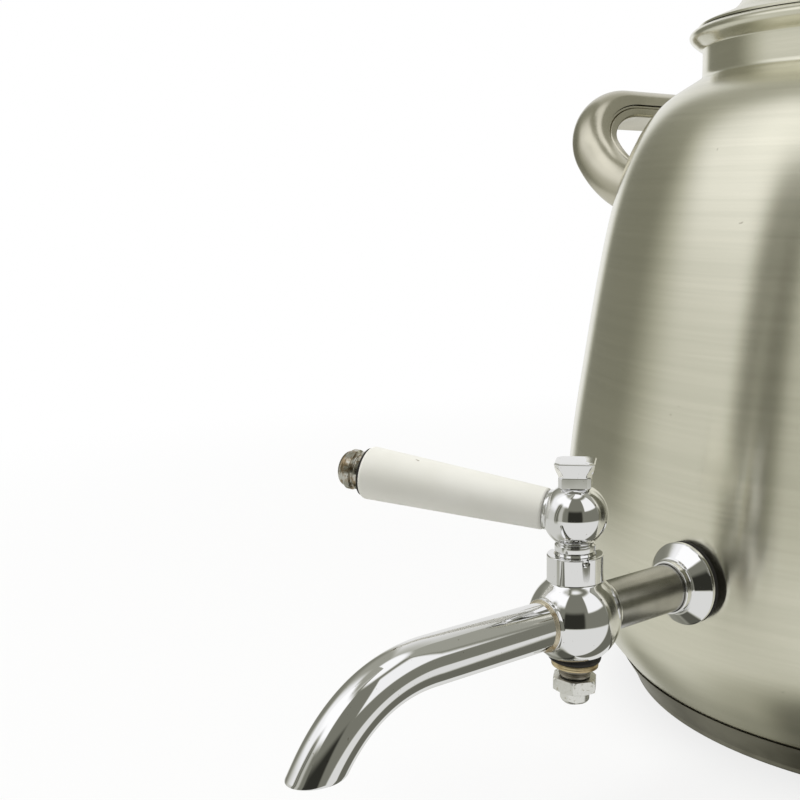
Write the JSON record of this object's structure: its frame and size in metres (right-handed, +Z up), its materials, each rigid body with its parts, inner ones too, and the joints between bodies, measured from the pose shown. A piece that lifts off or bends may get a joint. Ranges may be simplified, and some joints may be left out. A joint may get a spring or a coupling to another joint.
{
  "type": "kettle with tap",
  "caption": "Round steel kettle with a flat base, upturned side handles, a loose domed lid with a knob, and a plug tap with a bent spout and a side lever.",
  "frame": {"origin": "middle of the flat underside, on the body's axis", "axes": "+Z up along the body's axis, -Y towards the tap and its spout, +X and -X towards the side handles"},
  "size_m": [0.3168, 0.4132, 0.2984],
  "materials": {
    "satin_steel": "satin, brushed round the body",
    "dull_steel": "dull, darkened by heat",
    "chrome": "mirror plating",
    "brushed_chrome": "worn plating",
    "brass": "bare, slightly tarnished",
    "aluminium": "pressed disc",
    "rubber": "matte",
    "white_plastic": "smooth moulded"
  },
  "bodies": {
    "kettle": {"kettle_body": "satin_steel", "base_shell": "dull_steel", "base_core": "aluminium", "handle_right_shell": "satin_steel", "handle_right_liner": "satin_steel", "handle_left_shell": "satin_steel", "handle_left_liner": "satin_steel", "outer_gasket": "rubber", "tap_flange": "chrome", "inlet_pipe": "brushed_chrome", "inner_gasket": "rubber", "inner_washer": "dull_steel", "lock_nut": "brass", "valve_body": "chrome", "spout": "chrome"},
    "plug": {"valve_plug": "chrome", "finial_screw": "chrome", "tail_gasket": "rubber", "tail_washer": "brass", "tail_spring": "dull_steel", "tail_nut": "chrome", "lever_rod": "dull_steel", "lever_grip": "white_plastic", "grip_washer": "rubber", "grip_end_nut": "chrome"},
    "lid": {"lid_shell": "satin_steel", "lid_skirt": "satin_steel", "lid_knob": "chrome", "knob_washer": "dull_steel", "knob_screw": "dull_steel"}
  },
  "joints": [
    {"name": "tap_turn", "type": "hinge", "parent": "kettle", "child": "plug", "pos_m": [0, -0.18519, 0.0919], "axis": [0, 0, 1], "range_deg": [-30, 60]},
    {"name": "lid_lift", "type": "slide", "parent": "kettle", "child": "lid", "axis": [0, 0, 1], "range_m": [0, 0.04]}
  ]
}
